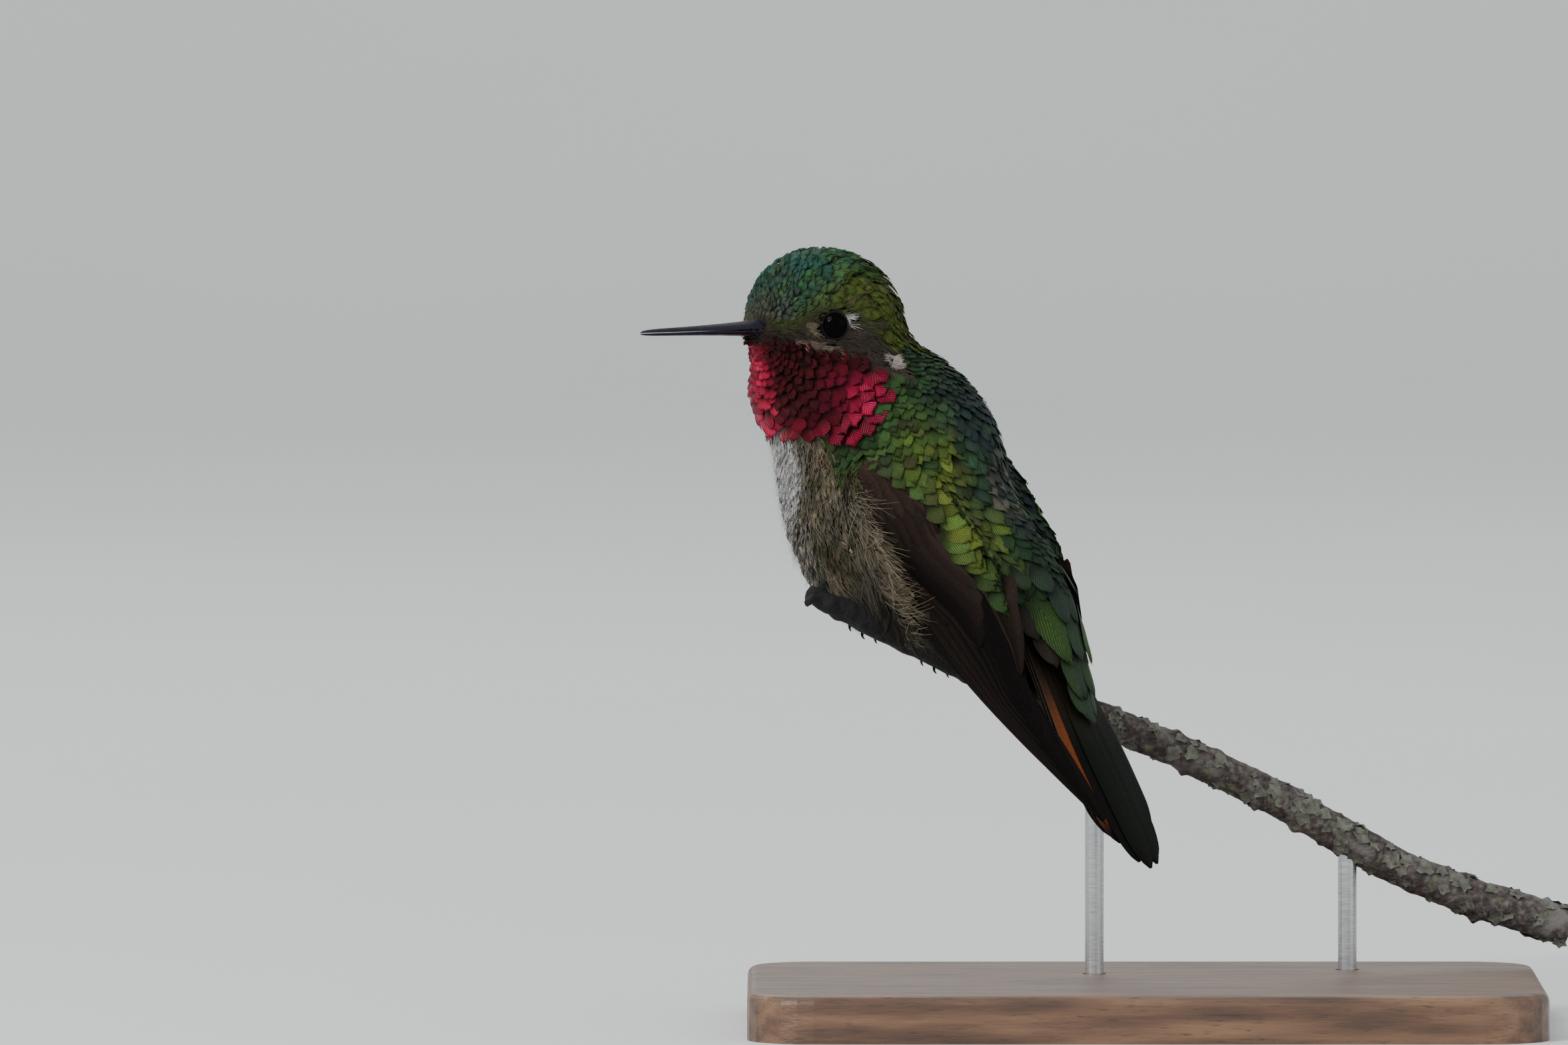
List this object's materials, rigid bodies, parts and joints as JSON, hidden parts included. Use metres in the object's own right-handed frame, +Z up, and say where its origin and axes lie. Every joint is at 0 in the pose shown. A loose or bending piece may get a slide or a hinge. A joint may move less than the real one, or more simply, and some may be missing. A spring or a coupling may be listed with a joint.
{
  "type": "hummingbird display model",
  "caption": "Life-size model of a male broad-tailed hummingbird perched on a cut twig, held over a flat base by two rods.",
  "frame": {"origin": "middle of the base's flat underside", "axes": "+Z up; +X along the base's long side, towards the thick end of the twig; the bird's tail side faces -Y, its breast -X and a little +Y, and its bill points to -X and -Y"},
  "size_m": [0.0994, 0.056, 0.0824],
  "materials": {
    "crown_feathers": "iridescent green feathers",
    "throat_feathers": "iridescent rose-red feathers",
    "body_feathers": "soft matte feathers",
    "flight_feathers": "dusky, faintly glossy feathers",
    "bill_horn": "satin black horn",
    "claw_horn": "scaly dark skin and horn",
    "eye": "wet gloss",
    "bark": "rough bark with lichen",
    "base_wood": "oiled dark wood",
    "rod_steel": "brushed"
  },
  "bodies": {
    "root": {"head": "crown_feathers", "neck": "throat_feathers", "trunk": "body_feathers", "tail": "flight_feathers", "wing_left": "flight_feathers", "wing_right": "flight_feathers", "bill_upper": "bill_horn", "bill_lower": "bill_horn", "eye_left": "eye", "eye_right": "eye", "leg_left": "body_feathers", "leg_right": "body_feathers", "foot_left": "claw_horn", "foot_right": "claw_horn", "perch_twig": "bark", "stand_base": "base_wood", "stand_rod_1": "rod_steel", "stand_rod_2": "rod_steel"}
  },
  "joints": []
}
